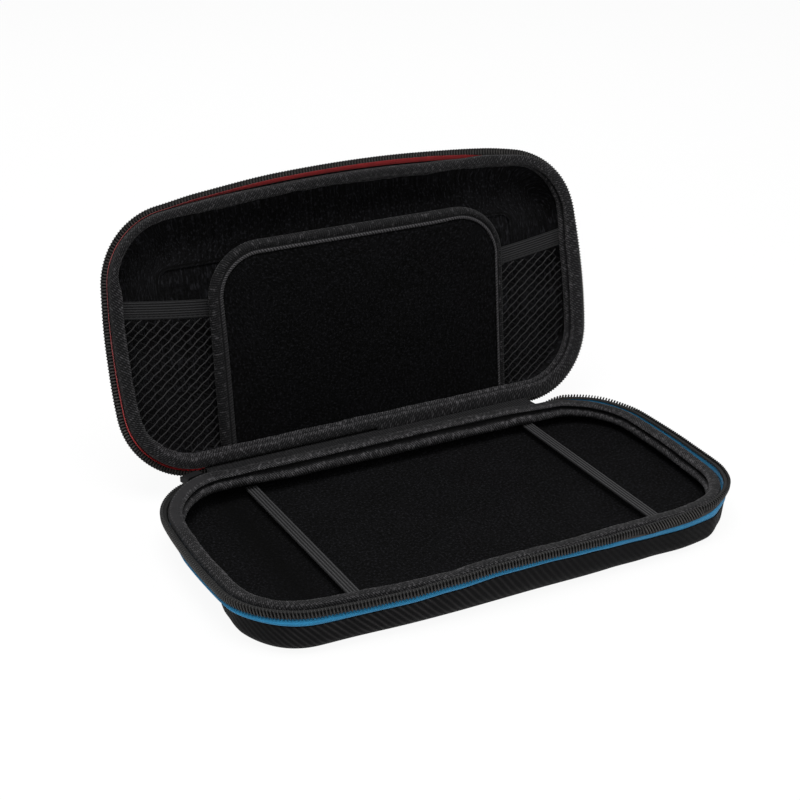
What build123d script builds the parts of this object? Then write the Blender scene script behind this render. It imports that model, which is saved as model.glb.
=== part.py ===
from build123d import *
from math import atan2, cos, pi, radians, sin, sqrt, tan
import os

# A zipped hard case for a hand-held console, lying open: the base flat on its floor,
# the lid turned back on a cloth hinge. +X is the length, +Y the hinge side, +Z up, and
# the origin is the centre of the base's flat underside. All sizes are millimetres.

# Plan of one half, over the teeth of its zip
case_length = 262.0
case_width = 138.0
corner_radius = 38.0
front_bow = 11.0
side_bow = 5.5

# Moulded shell
rim_height = 14.5
rim_inset = 2.2
wall_draft = 4.0
shell_wall = 2.4
edge_round = 12.0

# Lining glued into the shell
glue_gap = 0.1
base_lining_wall = 2.0
base_floor_pad = 3.0
lid_lining_wall = 1.2
lining_drop = 0.3

# Raised panel pressed into the lid
panel_length = 201.0
panel_width = 66.0
panel_rise = 1.0
panel_corner = 9.0

# Lid and its hinge line
closing_height = 20.4
lid_open_angle = 104.4
hinge_setback = 1.96
hinge_height = 12.85

# Padded binding over each rim: an upper roll, a sewn groove and a lower roll
binding_seat = 0.1
binding_outer_inset = 3.8
binding_width = 6.8
binding_rise = 5.5
binding_drop = 2.1
binding_round = 2.2
groove_depth = 1.1
groove_fall = 3.6
binding_lining_gap = 0.25

# Zip halves
zip_end_setback = 43.0
zip_end_x = case_length / 2 - zip_end_setback
tape_thickness = 0.7
tape_foot_inset = 2.7
tape_height = 6.2
tape_lean = 1.1
coil_width = 4.2
coil_thickness = 1.9
coil_overhang = 1.1
coil_gap = 0.08
coil_chamfer = 0.4
lid_tape_width = 2.4
lid_tape_lift = 1.1
lid_coil_reach = 2.3
lid_coil_depth = 1.8

# Cloth hinge
hinge_cloth_thickness = 1.0
hinge_cloth_rise = 3.7
hinge_cloth_bend = 2.4

# Elastic straps across the base
strap_spacing = 153.0
strap_width = 6.0
strap_thickness = 1.2
strap_drop = 0.3

# Net pocket in the lid, by place on the plan and height over the floor with the lid shut
seat_gap = 0.3
pocket_bottom_y = 57.0
pocket_bottom_height = 34.4
pocket_top_y = -21.2
pocket_top_height = 26.6
net_thickness = 0.8
net_columns = 15
net_rows = 4
net_cell_x = 14.9
net_cell_y = 12.6
net_strand = 1.8
net_hem = 3.0
elastic_width = 8.6
elastic_thickness = 1.6
elastic_sag = 11.5
elastic_seam = 0.1

# Padded flap sewn in at the hinge side of the lid, placed as the pocket is
flap_width = 160.5
flap_root_y = 61.6
flap_root_height = 30.6
flap_tip_y = -39.5
flap_tip_height = 17.8
flap_corner = 27.0
flap_thickness = 3.0
flap_binding_width = 6.6
flap_binding_cover = 0.5
flap_binding_gap = 0.05

# Zip slider and its pull
slider_angle = 106.0
slider_length = 9.0
slider_height = 6.6
slider_thickness = 3.6
slider_stand_off = 0.3
slider_round = 1.0
lug_thickness = 1.3
lug_edge = 1.3
pin_radius = 0.7
pull_eye_radius = 1.8
pull_hole_radius = 0.95
pull_length = 12.0
pull_width = 5.0
pull_thickness = 1.5

os.makedirs("parts", exist_ok=True)


# Centres and turning angles of the arcs that make the plan outline
def plan_arcs():
    half_length = case_length / 2
    front_chord = half_length - side_bow
    front_radius = (front_chord**2 + front_bow**2) / (2 * front_bow)
    front_centre = Vector(0, front_radius - case_width / 2)
    half_side = (case_width - front_bow) / 2
    side_radius = (half_side**2 + side_bow**2) / (2 * side_bow)
    side_centre = Vector(half_length - side_radius, front_bow / 2)
    reach_front = front_radius - corner_radius
    reach_side = side_radius - corner_radius
    between = side_centre - front_centre
    along = (between.length**2 + reach_front**2 - reach_side**2) / (2 * between.length)
    across = sqrt(reach_front**2 - along**2)
    toward = between.normalized()
    front_corner = front_centre + toward * along + Vector(-toward.Y, toward.X) * across
    if front_corner.X < 0:
        front_corner = front_centre + toward * along - Vector(-toward.Y, toward.X) * across
    back_y = case_width / 2 - corner_radius
    back_x = side_centre.X + sqrt(reach_side**2 - (back_y - side_centre.Y) ** 2)
    back_corner = Vector(back_x, back_y)

    def turn(centre, point):
        return atan2(point.Y - centre.Y, point.X - centre.X)

    front_turn = turn(front_centre, front_corner)
    side_start = turn(side_centre, front_corner)
    side_end = turn(side_centre, back_corner)
    return [
        (front_centre, front_radius, -pi - front_turn, front_turn),
        (front_corner, corner_radius, front_turn, side_start),
        (side_centre, side_radius, side_start, side_end),
        (back_corner, corner_radius, side_end, pi / 2),
    ]


def arc_edge(centre, radius, start, end):
    turns = (start, (start + end) / 2, end)
    points = [centre + Vector(radius * cos(t), radius * sin(t)) for t in turns]
    return Edge.make_three_point_arc(*points)


def mirrored_arc(centre, radius, start, end):
    return Vector(-centre.X, centre.Y), radius, pi - end, pi - start


# Edges from the middle of the back round the left, front and right to the middle again
def plan_edges(inset, back_end=0.0):
    front, front_corner, side, back_corner = plan_arcs()
    left = [mirrored_arc(*a) for a in (back_corner, side, front_corner)]
    around = left + [front, front_corner, side, back_corner]
    curved = [arc_edge(c, r - inset, start, end) for c, r, start, end in around]
    back_y = case_width / 2 - inset
    left_corner = Vector(-back_corner[0].X, back_y)
    right_corner = Vector(back_corner[0].X, back_y)
    if back_end < back_corner[0].X:
        first = Edge.make_line(Vector(-back_end, back_y), left_corner)
        last = Edge.make_line(right_corner, Vector(back_end, back_y))
        return [first] + curved + [last]
    return curved


def plan_face(inset, height):
    return Pos(0, 0, height) * Face(Wire(plan_edges(inset)))


# A solid ring with a section given by inset from the outline and height
def swept_ring(section, back_end=0.0):
    path = Wire(plan_edges(0, back_end))
    start = Vector(-back_end, case_width / 2, 0)
    plane = Plane(origin=start, x_dir=(0, -1, 0), z_dir=(-1, 0, 0))
    return sweep(plane * section, path=path)


def wall_inset(height):
    return rim_inset + (rim_height - height) * tan(radians(wall_draft))


# The filled form of the shell, shrunk all round by a depth
def half_form(depth, top):
    bottom = plan_face(wall_inset(depth) + depth, depth)
    block = extrude(bottom, amount=top - depth, taper=-wall_draft)
    floor_edges = block.edges().group_by(Axis.Z)[0]
    return fillet(floor_edges, edge_round - depth)


def raised_panel(depth, height):
    sketch = RectangleRounded(panel_length - 2 * depth, panel_width - 2 * depth, panel_corner - depth)
    return extrude(Pos(0, 0, depth - panel_rise) * sketch, amount=height)


def shell(with_panel):
    outer = half_form(0, rim_height)
    inner = half_form(shell_wall, rim_height + 1)
    if with_panel:
        outer += raised_panel(0, panel_rise + shell_wall / 2)
        inner += raised_panel(shell_wall, panel_rise + shell_wall / 2)
    return outer - inner


def lining(wall, floor_pad, with_panel):
    top = rim_height - lining_drop
    outside = shell_wall + glue_gap
    outer = half_form(outside, top)
    inner = half_form(outside + wall, top + 1)
    if floor_pad:
        inner -= extrude(plan_face(0, 0), amount=outside + wall + floor_pad)
    if with_panel:
        outer += raised_panel(outside, panel_rise + wall / 2)
        inner += raised_panel(outside + wall, panel_rise + wall / 2)
    return outer - inner


# The hollow that the lining leaves, less a seat gap
def cavity(wall, top):
    return half_form(shell_wall + glue_gap + wall + seat_gap, top)


def rim_binding(wall):
    foot = rim_height + binding_seat
    top = rim_height + binding_rise
    bottom = rim_height - binding_drop
    outer = binding_outer_inset
    inner = binding_outer_inset + binding_width
    hook = wall_inset(bottom) + shell_wall + glue_gap + wall + binding_lining_gap
    groove = (inner - groove_depth, top - groove_fall)
    roll_side = (inner, (groove[1] + bottom) / 2)
    outline = Curve() + [
        Line((outer, foot), (outer, top - binding_round)),
        RadiusArc((outer, top - binding_round), (outer + binding_round, top), binding_round),
        Line((outer + binding_round, top), (inner - binding_round, top)),
        TangentArc((inner - binding_round, top), groove, tangent=(1, 0)),
        ThreePointArc(groove, roll_side, (inner - binding_round, bottom)),
        Line((inner - binding_round, bottom), (hook, bottom)),
        Line((hook, bottom), (hook, foot)),
        Line((hook, foot), (outer, foot)),
    ]
    return swept_ring(make_face(outline))


def closed_section(*points):
    return make_face(Polyline(*points, close=True))


# The base's tape stands on the rim and leans out; its coil is sewn to the outer face
def base_tape_inset(height):
    return tape_foot_inset - tape_lean * (height - rim_height) / tape_height


def base_tape():
    foot = rim_height + binding_seat
    top = rim_height + tape_height
    low, high = base_tape_inset(foot), base_tape_inset(top)
    section = closed_section(
        (low, foot), (low + tape_thickness, foot), (high + tape_thickness, top), (high, top)
    )
    return swept_ring(section, zip_end_x)


def base_coil_section():
    edge = rim_height + tape_height
    top = edge + coil_overhang
    bottom = top - coil_width
    low = base_tape_inset(bottom) - coil_gap
    high = base_tape_inset(edge) - coil_gap
    return closed_section(
        (low, bottom), (low - coil_thickness, bottom), (high - coil_thickness + coil_chamfer, edge),
        (high - coil_thickness + 2 * coil_chamfer, top), (high, top), (high, edge),
    )


# The lid's tape has flopped outwards, so its coil lies behind it
def lid_tape():
    root = binding_outer_inset - binding_seat
    tip = root - lid_tape_width
    foot = rim_height + binding_seat
    section = closed_section(
        (root, foot), (root, foot + tape_thickness),
        (tip, foot + lid_tape_lift + tape_thickness), (tip, foot + lid_tape_lift),
    )
    return swept_ring(section, zip_end_x)


def lid_coil_section():
    near = rim_inset - coil_gap
    far = near - lid_coil_reach
    edge = rim_height + binding_seat + lid_tape_lift / 2
    back = edge - lid_coil_depth
    return closed_section(
        (near, back), (far + coil_chamfer, back), (far, back + 2 * coil_chamfer),
        (far, edge + coil_chamfer), (near, edge - coil_gap),
    )


# Lid pieces are modelled rim up like the base, then turned over and swung open
hinge_line = Axis((0, case_width / 2 + hinge_setback, hinge_height), (1, 0, 0))


def swung_open(piece):
    return piece.rotate(hinge_line, -lid_open_angle)


def as_lid(piece):
    return swung_open(mirror(piece, about=Plane.XY.offset(closing_height)))


# A point on the lid in the upright YZ section, from its place in the rim-up half
def lid_point(inset, height):
    y = -inset - hinge_setback
    z = 2 * closing_height - height - hinge_height
    turn = radians(-lid_open_angle)
    turned_y = y * cos(turn) - z * sin(turn)
    turned_z = y * sin(turn) + z * cos(turn)
    return (case_width / 2 + hinge_setback + turned_y, hinge_height + turned_z)


def hinge_cloth():
    half = hinge_cloth_thickness / 2
    base_inset = tape_foot_inset + half
    foot = rim_height + binding_seat
    back = case_width / 2
    base_foot = (back - base_inset, foot)
    base_top = (back - base_inset, foot + hinge_cloth_rise)
    lid_near = lid_point(base_inset, foot + hinge_cloth_bend)
    lid_foot = lid_point(base_inset, foot)
    spine = FilletPolyline(base_foot, base_top, lid_near, lid_foot, radius=1.6)
    cloth = trace(spine, line_width=hinge_cloth_thickness)
    upright = Plane(origin=(-zip_end_x, 0, 0), x_dir=(0, 1, 0), z_dir=(1, 0, 0))
    return extrude(upright * cloth, amount=2 * zip_end_x)


def strap(side):
    top = rim_height - binding_drop - strap_drop
    place = Pos(side * strap_spacing / 2, 0, top - strap_thickness / 2)
    band = place * Box(strap_width, 2 * case_width, strap_thickness)
    return band & cavity(base_lining_wall, rim_height)


# The part of a piece that fits in the shut lid: within its hollow and clear of its binding
def fitted_in_lid(piece):
    inner = binding_outer_inset + binding_width + seat_gap
    low = rim_height - binding_drop - seat_gap
    high = rim_height + binding_rise
    roll = swept_ring(closed_section((0, low), (inner, low), (inner, high), (0, high)))
    hollow = cavity(lid_lining_wall, 2 * closing_height)
    shut = Plane.XY.offset(closing_height)
    return (piece & mirror(hollow, about=shut)) - mirror(roll, about=shut)


# Plane through two lines across the shut lid, with its own y towards the hinge
def slanted_plane(low_y, low_height, top_y, top_height):
    slope = (low_height - top_height) / (low_y - top_y)
    return Plane(origin=(0, low_y, low_height), x_dir=(1, 0, 0), z_dir=(0, -slope, 1))


pocket_plane = slanted_plane(pocket_bottom_y, pocket_bottom_height, pocket_top_y, pocket_top_height)
pocket_rise = Vector(0, pocket_bottom_y - pocket_top_y, pocket_bottom_height - pocket_top_height).length


# A sheet in the pocket's plane, from an edge that sags in the middle to a straight one
def sagging_sheet(top, bottom, sagging_bottom):
    half = case_length / 2
    upper = ThreePointArc((-half, top), (0, top + elastic_sag), (half, top))
    if sagging_bottom:
        lower = ThreePointArc((-half, bottom), (0, bottom + elastic_sag), (half, bottom))
    else:
        lower = Line((-half, bottom), (half, bottom))
    sides = [Line(upper @ 0, lower @ 0), Line(upper @ 1, lower @ 1)]
    return make_face(Curve() + [upper, lower] + sides)


def pocket_elastic():
    band = sagging_sheet(-pocket_rise, elastic_width - pocket_rise, True)
    behind = (elastic_thickness - net_thickness) / 2
    return fitted_in_lid(extrude(pocket_plane.offset(-behind) * band, amount=elastic_thickness))


# The net has diamond holes between crossed strands, with a whole hem at its edges
def net_pocket():
    top = elastic_width + elastic_seam - pocket_rise
    sheet = sagging_sheet(top, case_width / 2, False)
    plate = fitted_in_lid(extrude(pocket_plane * sheet, amount=net_thickness))
    half_x = (net_cell_x - net_strand) / 2
    half_y = (net_cell_y - net_strand) / 2
    hole = make_face(Polyline((-half_x, 0), (0, -half_y), (half_x, 0), (0, half_y), close=True))
    first_y = top + elastic_sag + net_hem + half_y
    holes = []
    for row in range(2 * net_rows):
        columns = net_columns - row % 2
        for column in range(columns):
            x = (column - (columns - 1) / 2) * net_cell_x
            holes.append(Pos(x, first_y + row * net_cell_y / 2) * hole)
    cutter = extrude(pocket_plane * (Sketch() + holes), amount=net_thickness)
    return plate - cutter


flap_plane = slanted_plane(flap_root_y, flap_root_height, flap_tip_y, flap_tip_height)
flap_length = Vector(0, flap_root_y - flap_tip_y, flap_root_height - flap_tip_height).length


# The flap's outline shrunk by a margin on its three free sides
def flap_outline(margin):
    half = flap_width / 2 - margin
    tip = margin - flap_length
    corner = flap_corner - margin
    return make_face(
        Curve()
        + [
            Line((half, 0), (half, tip + corner)),
            TangentArc((half, tip + corner), (half - corner, tip), tangent=(0, -1)),
            Line((half - corner, tip), (corner - half, tip)),
            TangentArc((corner - half, tip), (-half, tip + corner), tangent=(-1, 0)),
            Line((-half, tip + corner), (-half, 0)),
            Line((-half, 0), (half, 0)),
        ]
    )


def flap_panel():
    pad = extrude(flap_plane * flap_outline(flap_binding_cover), amount=flap_thickness)
    return fitted_in_lid(pad)


# A channel that wraps the flap's edge, with the flap's own edge inside it
def flap_binding():
    whole = flap_thickness + 2 * flap_binding_cover
    band = flap_outline(0) - flap_outline(flap_binding_width)
    channel = extrude(flap_plane.offset(-flap_binding_cover) * band, amount=whole)
    slot_face = flap_outline(flap_binding_cover - flap_binding_gap)
    slot = extrude(
        flap_plane.offset(-flap_binding_gap) * slot_face, amount=flap_thickness + 2 * flap_binding_gap
    )
    return fitted_in_lid(channel - slot)


# The slider stands on the outside of the rear left corner, where the zip ends
def slider_plane():
    centre = plan_arcs()[3][0]
    turn = radians(slider_angle)
    outward = Vector(cos(turn), sin(turn))
    along = Vector(-sin(turn), cos(turn))
    origin = Vector(-centre.X, centre.Y) + outward * corner_radius
    return Plane(origin=origin, x_dir=along, z_dir=outward)


slider_face = slider_thickness - base_tape_inset(rim_height + tape_height) + slider_stand_off
pin_height = rim_height + tape_height + coil_overhang - slider_height / 2
pin_reach = slider_face + slider_stand_off + pull_eye_radius


def zip_slider():
    block = Pos(0, pin_height, slider_face - slider_thickness / 2)
    body = block * Box(slider_length, slider_height, slider_thickness)
    body = fillet(body.edges().filter_by(Axis.Z), slider_round)
    lug_depth = pin_reach - slider_face + lug_edge
    for side in (-1, 1):
        x = side * (pull_width / 2 + slider_stand_off + lug_thickness / 2)
        lug = Pos(x, pin_height, slider_face + lug_depth / 2)
        body += lug * Box(lug_thickness, 2 * lug_edge, lug_depth)
    pin = Cylinder(pin_radius, pull_width + 2 * (slider_stand_off + lug_thickness), rotation=(0, 90, 0))
    body += Pos(0, pin_height, pin_reach) * pin
    return slider_plane() * body


def zip_pull():
    eye = Cylinder(pull_eye_radius, pull_width, rotation=(0, 90, 0))
    end = Pos(0, -pull_length) * Circle(pull_width / 2)
    strip = Pos(0, -pull_length / 2) * Rectangle(pull_width, pull_length) + end
    tab = extrude(Pos(0, 0, -pull_thickness / 2) * strip, amount=pull_thickness)
    hole = Cylinder(pull_hole_radius, 2 * pull_width, rotation=(0, 90, 0))
    return slider_plane() * Pos(0, pin_height, pin_reach) * (eye + tab - hole)


# The base's coil stops at the slider on the left and runs to the zip's end on the right
def base_coil():
    coil = swept_ring(base_coil_section(), zip_end_x)
    reach = corner_radius
    stop = Pos((slider_length - reach) / 2 + slider_stand_off, pin_height, 0)
    return coil - slider_plane() * stop * Box(reach, reach, reach)


pieces = {
    "base_shell": shell(False),
    "base_lining": lining(base_lining_wall, base_floor_pad, False),
    "base_rim_binding": rim_binding(base_lining_wall),
    "base_zip_tape": base_tape(),
    "base_zip_coil": base_coil(),
    "strap_left": strap(-1),
    "strap_right": strap(1),
    "hinge_cloth": hinge_cloth(),
    "zip_slider": zip_slider(),
    "zip_pull": zip_pull(),
    "lid_shell": as_lid(shell(True)),
    "lid_lining": as_lid(lining(lid_lining_wall, 0, True)),
    "lid_rim_binding": as_lid(rim_binding(lid_lining_wall)),
    "lid_zip_tape": as_lid(lid_tape()),
    "lid_zip_coil": as_lid(swept_ring(lid_coil_section(), zip_end_x)),
    "net_pocket": swung_open(net_pocket()),
    "pocket_elastic": swung_open(pocket_elastic()),
    "flap_panel": swung_open(flap_panel()),
    "flap_binding": swung_open(flap_binding()),
}
for name, piece in pieces.items():
    export_step(piece, f"parts/{name}.step")
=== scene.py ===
import bpy
import math
from mathutils import Matrix, Vector, kdtree, noise


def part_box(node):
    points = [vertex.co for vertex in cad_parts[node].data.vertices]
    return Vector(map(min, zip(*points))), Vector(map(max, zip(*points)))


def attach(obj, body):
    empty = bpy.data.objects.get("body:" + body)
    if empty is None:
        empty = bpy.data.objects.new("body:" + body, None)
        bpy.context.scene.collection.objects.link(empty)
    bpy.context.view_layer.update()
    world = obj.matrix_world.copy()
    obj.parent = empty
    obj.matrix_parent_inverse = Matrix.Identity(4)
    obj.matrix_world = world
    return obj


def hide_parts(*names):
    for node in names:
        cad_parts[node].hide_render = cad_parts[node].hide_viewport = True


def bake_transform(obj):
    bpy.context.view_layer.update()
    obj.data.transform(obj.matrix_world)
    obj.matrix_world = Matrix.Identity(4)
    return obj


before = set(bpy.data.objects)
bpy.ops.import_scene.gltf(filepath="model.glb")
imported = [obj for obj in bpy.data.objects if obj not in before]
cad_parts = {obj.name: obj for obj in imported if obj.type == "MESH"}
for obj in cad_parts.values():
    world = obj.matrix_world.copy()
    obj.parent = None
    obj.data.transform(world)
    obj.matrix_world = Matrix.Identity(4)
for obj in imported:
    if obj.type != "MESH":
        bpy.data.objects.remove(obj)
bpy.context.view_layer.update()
mm = 0.001
print("frame loaded")


def held(value):  # kept between 0 and 1
    return max(0, min(1, value))


# which stretch of a line a way along it ends in, and how far into it
def stretchAt(runs, s, slack=0):
    for index, run in enumerate(runs):
        if s <= run + slack or index == len(runs) - 1:
            return index, s
        s -= run


def straightAt(start, normal, s):  # a place on a straight side, with its outward normal
    start, normal = Vector(start), Vector(normal)
    return start + Vector((-normal.y, normal.x)) * s, normal


def cornerAt(centre, radius, angle):  # a place on a round corner, with its outward normal
    normal = Vector((math.cos(angle), math.sin(angle)))
    return Vector(centre) + normal * radius, normal


# plan of one half over its zip, and where the lid hangs
casePlan = dict(length=262, width=138, cornerRadius=38, frontBow=11, sideBow=5.5,
                closing=20.4, openAngle=104.4, hingeY=70.96, hingeZ=12.85)


def mirroredArc(centre, radius, start, end):
    return Vector((-centre.x, centre.y)), radius, math.pi - end, math.pi - start


def planArcs():
    halfLength, halfWidth = casePlan["length"] / 2, casePlan["width"] / 2
    corner, bow, sideBow = casePlan["cornerRadius"], casePlan["frontBow"], casePlan["sideBow"]
    frontChord = halfLength - sideBow
    frontRadius = (frontChord ** 2 + bow ** 2) / (2 * bow)
    frontCentre = Vector((0, frontRadius - halfWidth))
    halfSide = halfWidth - bow / 2
    sideRadius = (halfSide ** 2 + sideBow ** 2) / (2 * sideBow)
    sideCentre = Vector((halfLength - sideRadius, bow / 2))
    reachFront, reachSide = frontRadius - corner, sideRadius - corner
    between = sideCentre - frontCentre
    along = (between.length ** 2 + reachFront ** 2 - reachSide ** 2) / (2 * between.length)
    across = math.sqrt(reachFront ** 2 - along ** 2)
    toward = between.normalized()
    aside = Vector((-toward.y, toward.x)) * across
    meeting = frontCentre + toward * along
    frontCorner = max((meeting + aside, meeting - aside), key=lambda p: p.x)
    backY = halfWidth - corner
    backCorner = Vector((sideCentre.x + math.sqrt(reachSide ** 2 - (backY - sideCentre.y) ** 2), backY))

    def turn(centre, point):
        return math.atan2(point.y - centre.y, point.x - centre.x)

    frontTurn = turn(frontCentre, frontCorner)
    sideStart, sideEnd = turn(sideCentre, frontCorner), turn(sideCentre, backCorner)
    right = [(frontCorner, corner, frontTurn, sideStart), (sideCentre, sideRadius, sideStart, sideEnd),
             (backCorner, corner, sideEnd, math.pi / 2)]
    left = [mirroredArc(*arc) for arc in reversed(right)]
    return left + [(frontCentre, frontRadius, -math.pi - frontTurn, frontTurn)] + right


planTurns = planArcs()
backReach = planTurns[-1][0].x  # half the straight stretch at the back
planRuns = [backReach] + [radius * (end - start) for centre, radius, start, end in planTurns] + [backReach]
planLength = sum(planRuns)


# a place on the outline from the middle of the back, round the left, with its outward normal
def planAt(s):
    index, s = stretchAt(planRuns, s % planLength)
    if index in (0, len(planRuns) - 1):
        x = -s if index == 0 else backReach - s
        return Vector((x, casePlan["width"] / 2)), Vector((0, 1))
    centre, radius, start, end = planTurns[index - 1]
    return cornerAt(centre, radius, start + s / radius)


planTree = kdtree.KDTree(1200)
planSamples = [planAt(planLength * i / 1200) for i in range(1200)]
for i, (point, normal) in enumerate(planSamples):
    planTree.insert((point.x, point.y, 0), i)
planTree.balance()


# how far inside the outline a place on the plan is
def planInset(x, y):
    nearest, index, distance = planTree.find((x, y, 0))
    point, normal = planSamples[index]
    return -(Vector((x, y)) - point).dot(normal)


# how the soft halves sag and spread when they lie open, by the way along the outline, in mm
flexForm = dict(
    bulge=[(0, 0), (115, 0), (140, -1.5), (160, -3.0), (178, -4.0), (198, -3.5), (210, -1.2), (224, 0.4),
           (255, 1.6), (290, 0.5), (360, 0), (405, 0.8), (425, 2.2), (445, 3.5), (460, 3.0), (473, 1.0),
           (488, 0), (560, 0)],
    rim=[(0, 0), (240, -0.3), (300, 0), (322, 1.2), (345, 2.8), (368, 2.8), (388, 1.8), (410, 0.5),
         (440, -0.6), (465, -1.0), (560, -1.0), (620, -0.5), (640, 0)],
    roll=[(0, 0), (50, 0.3), (82, 2.0), (104, 2.0), (135, 0.6), (170, 0.5), (200, 1.2), (240, 2.0),
          (270, 2.4), (300, 1.9), (320, 1.9), (345, 3.4), (360, 3.2), (380, 2.4), (400, 2.0), (425, 0.8),
          (450, -0.8), (480, -1.2), (520, -1.8), (580, -1.8), (625, -0.6), (650, 0)],
    topRoll=[(0, 2.4), (50, 2.2), (84, 0.5), (104, 0.3), (130, 0), (605, 0), (632, 0.8), (660, 2.0),
             (690, 2.4), (718, 2.4)],
    lowRoll=[(0, 1.3), (80, 1.0), (120, 0.2), (160, 0), (590, 0), (640, 1.0)],
    flange=[(0, 0), (84, 0), (98, 1.3), (118, 1.0), (140, 0.6), (165, 0.2), (200, 0), (718, 0)],
    zip=[(84, -4), (100, -1.6), (118, -1.0), (142, -0.8), (170, -0.5), (205, -0.1), (240, 0.2), (275, 0.1),
         (300, 0.3), (322, 1.6), (345, 2.9), (362, 2.7), (382, 2.0), (402, 0.9), (425, -0.1), (446, -0.7),
         (460, -0.2), (474, 0.4), (500, -1.2), (530, -2.2), (560, -2.6), (580, -2.7), (600, -1.9),
         (615, -1.9), (630.4, -5)],
    zipIn=[(84, 0.6), (104, 0.5), (122, 0.2), (142, 0), (160, -0.15), (180, -0.1), (222, 0), (255, 0.4),
           (300, 0.3), (480, 0.2), (520, 0), (630, 0)],
    tapeBelly=[(84, 0), (130, 0), (150, 0.4), (165, 1.8), (178, 2.5), (215, 2.4), (240, 2.0), (265, 1.5),
               (470, 1.3), (490, 0.8), (510, 0.2), (630, 0)],
    zipRamp=[(84, 0), (395, 0), (428, 2.8), (448, 2.6), (466, 0.8), (480, 0), (630, 0)],
    coilCover=[(84, 4), (225, 4), (255, 1), (480, 1), (505, 0.5), (630, 0.5)],
    floorRound=[(0, 1), (200, 1), (245, 0.6), (280, 0.75), (360, 0.9), (420, 0.75), (460, 0.5), (490, 0.6),
                (520, 0.9), (600, 1)],
    lidZip=[(84, 0.7), (105, 0.8), (130, 1.0), (150, 1.2), (180, 1.6), (225, 2.2), (262, 2.0), (283, 1.3),
            (325, 0.5), (400, 0.1), (440, -0.3), (470, 0.8), (500, 0.3), (560, -0.6), (600, -0.3),
            (630, 0.3)],
    lidFlange=[(84, 0), (283, 0), (325, -0.7), (400, -0.5), (420, 0.3), (440, 1.9), (630, 1.9)],
    lidCover=[(84, 0.5), (150, 0.5), (190, 0.15), (225, 0), (405, 0), (425, 0.2), (440, 0.5), (630, 0.5)],
    lidNarrow=[(0, 0), (205, 0), (220, 0.33), (255, 0.36), (300, 0.12), (400, 0.05), (430, 0.35),
               (465, 0.5), (500, 0.3), (530, 0)])


def flex(kind, s):
    keys = flexForm[kind]
    s %= planLength
    before = [key for key in keys if key[0] <= s]
    after = [key for key in keys if key[0] > s]
    s0, v0 = before[-1] if before else keys[0]
    s1, v1 = after[0] if after else (planLength, keys[0][1] if keys[0][0] == 0 else keys[-1][1])
    t = held((s - s0) / max(s1 - s0, 1e-6))
    return v0 + (v1 - v0) * t * t * (3 - 2 * t)


hingePoint = Vector((0, casePlan["hingeY"], casePlan["hingeZ"]))
lidTurn = Matrix.Rotation(math.radians(-casePlan["openAngle"]), 3, "X")


def onBase(spot):
    return spot * mm


def onShutLid(spot):  # a place in the shut lid, swung open
    return (lidTurn @ (spot - hingePoint) + hingePoint) * mm


def onLid(spot):  # a place in a rim-up half, turned over as the lid
    return onShutLid(Vector((spot.x, spot.y, 2 * casePlan["closing"] - spot.z)))


def slantedPlane(lowY, lowHeight, topY, topHeight):
    along = Vector((0, lowY - topY, lowHeight - topHeight)).normalized()
    normal = Vector((1, 0, 0)).cross(along)
    origin = Vector((0, lowY, lowHeight))
    return lambda x, y, lift: origin + Vector((x, 0, 0)) + along * y + normal * lift


# mesh helpers
def freshSelection():
    if bpy.context.mode != "OBJECT":
        bpy.ops.object.mode_set(mode="OBJECT")
    bpy.ops.object.select_all(action="DESELECT")


def pick(piece):
    freshSelection()
    piece.select_set(True)
    bpy.context.view_layer.objects.active = piece


def closeMesh(piece, fillHoles=False, angle=50):
    pick(piece)
    bpy.ops.object.mode_set(mode="EDIT")
    bpy.ops.mesh.select_all(action="SELECT")
    bpy.ops.mesh.remove_doubles(threshold=2e-6)
    if fillHoles:
        bpy.ops.mesh.select_all(action="SELECT")
        bpy.ops.mesh.fill_holes(sides=0)
    bpy.ops.mesh.select_all(action="SELECT")
    bpy.ops.mesh.normals_make_consistent(inside=False)
    bpy.ops.object.mode_set(mode="OBJECT")
    bpy.ops.object.shade_smooth_by_angle(angle=math.radians(angle))


# a grid primitive laid over a surface; place and cloth give its points and cloth coordinates, in mm
def layGrid(name, across, along, place, cloth):
    freshSelection()
    bpy.ops.mesh.primitive_grid_add(x_subdivisions=across, y_subdivisions=along, size=1)
    piece = bpy.context.object
    piece.name = piece.data.name = name
    mesh = piece.data
    share = [(v.co.x + 0.5, v.co.y + 0.5) for v in mesh.vertices]
    layer = mesh.uv_layers.active.data
    for loop in mesh.loops:
        u, w = cloth(*share[loop.vertex_index])
        layer[loop.index].uv = (u * mm, w * mm)
    for v, (u, w) in zip(mesh.vertices, share):
        v.co = place(u, w)
    return piece


def added(name, data):  # a new object in the scene
    piece = bpy.data.objects.new(name, data)
    bpy.context.scene.collection.objects.link(piece)
    return piece


# a piece laid in mm is closed, its flat ends take cloth coordinates from the plan, and it goes to its place
def settled(piece, place, ends=True):
    closeMesh(piece, fillHoles=ends)
    mesh = piece.data
    layer = mesh.uv_layers.active.data
    for face in mesh.polygons:
        if len(face.vertices) > 4:
            for loop in face.loop_indices:
                co = mesh.vertices[mesh.loops[loop].vertex_index].co
                layer[loop].uv = (co.x * mm, co.y * mm)
    for v in mesh.vertices:
        v.co = place(v.co.copy())
    closeMesh(piece)
    return piece


# a closed section carried along a way; spot places its points, way and across give cloth coordinates
def carried(name, stations, section, spot, way, across=None, angle=50):
    line = list(section) + [section[0]]
    rows = len(line) - 1
    reach = lineReach(line)

    def cloth(u, w):
        row = round(w * rows)
        return way(u), across(line[row]) if across else reach[row]

    piece = layGrid(name, stations, rows, lambda u, w: spot(u, w, line[round(w * rows)]), cloth)
    closeMesh(piece, fillHoles=True, angle=angle)
    return piece


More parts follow.
